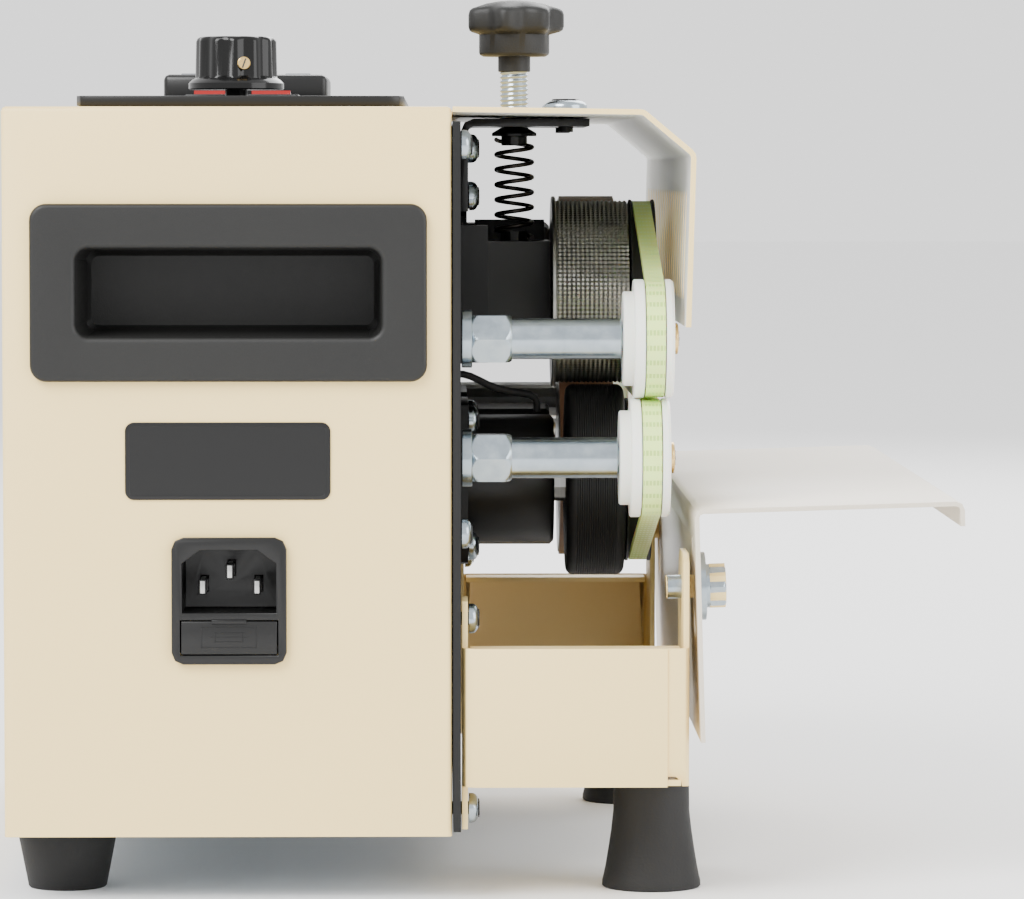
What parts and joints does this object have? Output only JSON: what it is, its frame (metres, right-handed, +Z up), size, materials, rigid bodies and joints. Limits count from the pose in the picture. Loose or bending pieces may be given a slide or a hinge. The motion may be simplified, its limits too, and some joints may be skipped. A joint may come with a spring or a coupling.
{
  "type": "continuous band sealer",
  "caption": "Benchtop bag-sealing machine: sheet-metal case, open side gear-driven press wheels and bands under a vented guard, folded bag shelf, top controls.",
  "frame": {"origin": "centre of the overall box, on the ground under the feet", "axes": "+Z up; +X from the case towards the bag shelf; +Y from the pictured inlet end to the far end"},
  "size_m": [0.247, 0.285, 0.2353],
  "materials": {
    "band_brown": "coated glass cloth",
    "black_steel": "satin black powder coat",
    "block_aluminium": "milled",
    "block_black": "black oxide",
    "bracket_black": "satin black",
    "control_plate": "satin",
    "controller_black": "satin",
    "cream_paint": "semi-gloss powder coat",
    "drawer_plastic": "smooth",
    "foot_rubber": "matt",
    "guard_paint": "semi-gloss powder coat",
    "guide_belt_green": "translucent polyurethane",
    "handle_plastic": "fine grained",
    "housing_black": "black oxide",
    "inlet_plastic": "smooth",
    "key_plastic": "satin",
    "knob_gloss": "glossy",
    "knurl_steel": "knurled",
    "lead_black": "matt sleeve",
    "motor_grey": "grey plated",
    "nylon": "slightly translucent nylon",
    "pinion_steel": "cut gear",
    "press_rubber": "finely grooved",
    "pulley_black": "satin",
    "rocker_red": "glossy",
    "roller_steel": "turned",
    "shaft_steel": "turned",
    "shelf_paint": "semi-gloss powder coat",
    "spring_wire": "dark spring wire",
    "standoff_zinc": "bright zinc plate",
    "star_plastic": "satin",
    "thread_zinc": "zinc-plated thread",
    "tray_paint": "semi-gloss powder coat",
    "zinc_sheet": "zinc-plated sheet"
  },
  "bodies": {
    "machine": {"base_plate": "zinc_sheet", "carry_handle_far": "handle_plastic", "carry_handle_near": "handle_plastic", "case_foot_far": "foot_rubber", "case_foot_near": "foot_rubber", "case_shell": "cream_paint", "control_panel": "control_plate", "cooling_block_lower": "block_aluminium", "cooling_block_upper": "block_aluminium", "front_guard": "guard_paint", "gear_motor": "motor_grey", "guard_bracket": "bracket_black", "guide_belt_lower": "guide_belt_green", "guide_belt_upper": "guide_belt_green", "guide_standoff_far_lower": "standoff_zinc", "guide_standoff_far_upper": "standoff_zinc", "guide_standoff_near_lower": "standoff_zinc", "guide_standoff_near_upper": "standoff_zinc", "heater_block_lower": "block_aluminium", "heater_block_upper": "block_aluminium", "mechanism_panel": "black_steel", "power_inlet": "inlet_plastic", "press_housing": "housing_black", "pressure_spring": "spring_wire", "seal_band_lower": "band_brown", "seal_band_upper": "band_brown", "sensor_lead": "lead_black", "temperature_controller": "controller_black", "tray_bracket_far": "tray_paint", "tray_bracket_near": "tray_paint", "tray_foot_far": "foot_rubber", "tray_foot_near": "foot_rubber"},
    "lower_press_wheels": {"press_shaft_lower": "shaft_steel", "rubber_wheel": "press_rubber", "guide_pulley_lower": "pulley_black"},
    "press_block": {"upper_bearing_block": "block_black"},
    "upper_press_wheels": {"press_shaft_upper": "shaft_steel", "knurled_wheel": "knurl_steel", "guide_pulley_upper": "pulley_black"},
    "upper_seal_drive": {"seal_roller_upper": "roller_steel"},
    "lower_seal_drive": {"seal_roller_lower": "roller_steel"},
    "upper_seal_idler": {"seal_idler_upper": "roller_steel"},
    "lower_seal_idler": {"seal_idler_lower": "roller_steel"},
    "upper_near_wheel": {"guide_wheel_near_upper": "nylon"},
    "upper_far_wheel": {"guide_wheel_far_upper": "nylon"},
    "lower_near_wheel": {"guide_wheel_near_lower": "nylon"},
    "lower_far_wheel": {"guide_wheel_far_lower": "nylon"},
    "drive_pinion": {"motor_pinion": "pinion_steel"},
    "seat": {"spring_seat": "star_plastic"},
    "pressure_handwheel": {"pressure_screw": "thread_zinc", "star_knob": "star_plastic"},
    "work_shelf": {"shelf": "shelf_paint"},
    "fuse_tray": {"fuse_drawer": "drawer_plastic"},
    "speed_dial": {"speed_knob": "knob_gloss"},
    "power_switch": {"power_rocker": "rocker_red"},
    "heater_switch": {"heater_rocker": "rocker_red"},
    "key_1": {"controller_key_1": "key_plastic"},
    "key_2": {"controller_key_2": "key_plastic"},
    "key_3": {"controller_key_3": "key_plastic"},
    "key_4": {"controller_key_4": "key_plastic"}
  },
  "joints": [
    {"name": "lower_press_turn", "type": "hinge", "parent": "machine", "child": "lower_press_wheels", "pos_m": [0.02387, -0.035, 0.103], "axis": [1, 0, 0], "continuous": true},
    {"name": "press_block_lift", "type": "slide", "parent": "machine", "child": "press_block", "axis": [0, 0, 1], "range_m": [0, 0.003], "stiffness_N_per_m": 1500, "springref_m": -0.003, "deforming": ["guide_belt_upper"]},
    {"name": "upper_press_turn", "type": "hinge", "parent": "press_block", "child": "upper_press_wheels", "pos_m": [0.02387, -0.035, 0.155], "axis": [1, 0, 0], "continuous": true},
    {"name": "upper_seal_turn", "type": "hinge", "parent": "machine", "child": "upper_seal_drive", "pos_m": [0.02387, 0.022, 0.1556], "axis": [1, 0, 0], "continuous": true},
    {"name": "lower_seal_turn", "type": "hinge", "parent": "machine", "child": "lower_seal_drive", "pos_m": [0.02387, 0.022, 0.1036], "axis": [1, 0, 0], "continuous": true},
    {"name": "upper_idler_turn", "type": "hinge", "parent": "machine", "child": "upper_seal_idler", "pos_m": [0.02387, 0.096, 0.1407], "axis": [1, 0, 0], "continuous": true},
    {"name": "lower_idler_turn", "type": "hinge", "parent": "machine", "child": "lower_seal_idler", "pos_m": [0.02387, 0.096, 0.1185], "axis": [1, 0, 0], "continuous": true},
    {"name": "upper_near_turn", "type": "hinge", "parent": "machine", "child": "upper_near_wheel", "pos_m": [0.02387, -0.1244, 0.1449], "axis": [1, 0, 0], "continuous": true},
    {"name": "upper_far_turn", "type": "hinge", "parent": "machine", "child": "upper_far_wheel", "pos_m": [0.02387, 0.1244, 0.1449], "axis": [1, 0, 0], "continuous": true},
    {"name": "lower_near_turn", "type": "hinge", "parent": "machine", "child": "lower_near_wheel", "pos_m": [0.02387, -0.1244, 0.114], "axis": [1, 0, 0], "continuous": true},
    {"name": "lower_far_turn", "type": "hinge", "parent": "machine", "child": "lower_far_wheel", "pos_m": [0.02387, 0.1244, 0.114], "axis": [1, 0, 0], "continuous": true},
    {"name": "pinion_turn", "type": "hinge", "parent": "machine", "child": "drive_pinion", "pos_m": [-0.02613, -0.0062, 0.07524], "axis": [1, 0, 0], "continuous": true},
    {"name": "seat_travel", "type": "slide", "parent": "machine", "child": "seat", "axis": [0, 0, 1], "range_m": [-0.00375, 0], "deforming": ["pressure_spring"]},
    {"name": "handwheel_turn", "type": "hinge", "parent": "seat", "child": "pressure_handwheel", "pos_m": [0.00907, -0.035, 0.21], "axis": [0, 0, 1], "range_deg": [-1080, 0]},
    {"name": "shelf_travel", "type": "slide", "parent": "machine", "child": "work_shelf", "axis": [-0.0297, 0, 0.9996], "range_m": [-0.01, 0.01]},
    {"name": "fuse_tray_travel", "type": "slide", "parent": "machine", "child": "fuse_tray", "axis": [0, -1, 0], "range_m": [0, 0.014]},
    {"name": "speed_turn", "type": "hinge", "parent": "machine", "child": "speed_dial", "pos_m": [-0.06493, -0.101, 0.21], "axis": [0, 0, 1], "range_deg": [-150, 150]},
    {"name": "power_rock", "type": "hinge", "parent": "machine", "child": "power_switch", "pos_m": [-0.07353, -0.036, 0.2085], "axis": [1, 0, 0], "range_deg": [0, 18]},
    {"name": "heater_rock", "type": "hinge", "parent": "machine", "child": "heater_switch", "pos_m": [-0.05773, -0.036, 0.2085], "axis": [1, 0, 0], "range_deg": [0, 18]},
    {"name": "key_1_press", "type": "slide", "parent": "machine", "child": "key_1", "axis": [0, 0, -1], "range_m": [0, 0.0005], "stiffness_N_per_m": 400, "springref_m": -0.001},
    {"name": "key_2_press", "type": "slide", "parent": "machine", "child": "key_2", "axis": [0, 0, -1], "range_m": [0, 0.0005], "stiffness_N_per_m": 400, "springref_m": -0.001},
    {"name": "key_3_press", "type": "slide", "parent": "machine", "child": "key_3", "axis": [0, 0, -1], "range_m": [0, 0.0005], "stiffness_N_per_m": 400, "springref_m": -0.001},
    {"name": "key_4_press", "type": "slide", "parent": "machine", "child": "key_4", "axis": [0, 0, -1], "range_m": [0, 0.0005], "stiffness_N_per_m": 400, "springref_m": -0.001}
  ],
  "couplings": [
    {"joint": "upper_press_turn", "follows": "lower_press_turn", "ratio": -1},
    {"joint": "upper_seal_turn", "follows": "lower_press_turn", "ratio": -1},
    {"joint": "lower_seal_turn", "follows": "lower_press_turn", "ratio": 1},
    {"joint": "upper_idler_turn", "follows": "lower_press_turn", "ratio": -2.49},
    {"joint": "lower_idler_turn", "follows": "lower_press_turn", "ratio": 2.49},
    {"joint": "upper_near_turn", "follows": "lower_press_turn", "ratio": -1.7634},
    {"joint": "upper_far_turn", "follows": "lower_press_turn", "ratio": -1.7634},
    {"joint": "lower_near_turn", "follows": "lower_press_turn", "ratio": 1.542},
    {"joint": "lower_far_turn", "follows": "lower_press_turn", "ratio": 1.542},
    {"joint": "pinion_turn", "follows": "lower_press_turn", "ratio": -1.8571},
    {"joint": "handwheel_turn", "follows": "seat_travel", "rad_per_m": 5026.5}
  ]
}
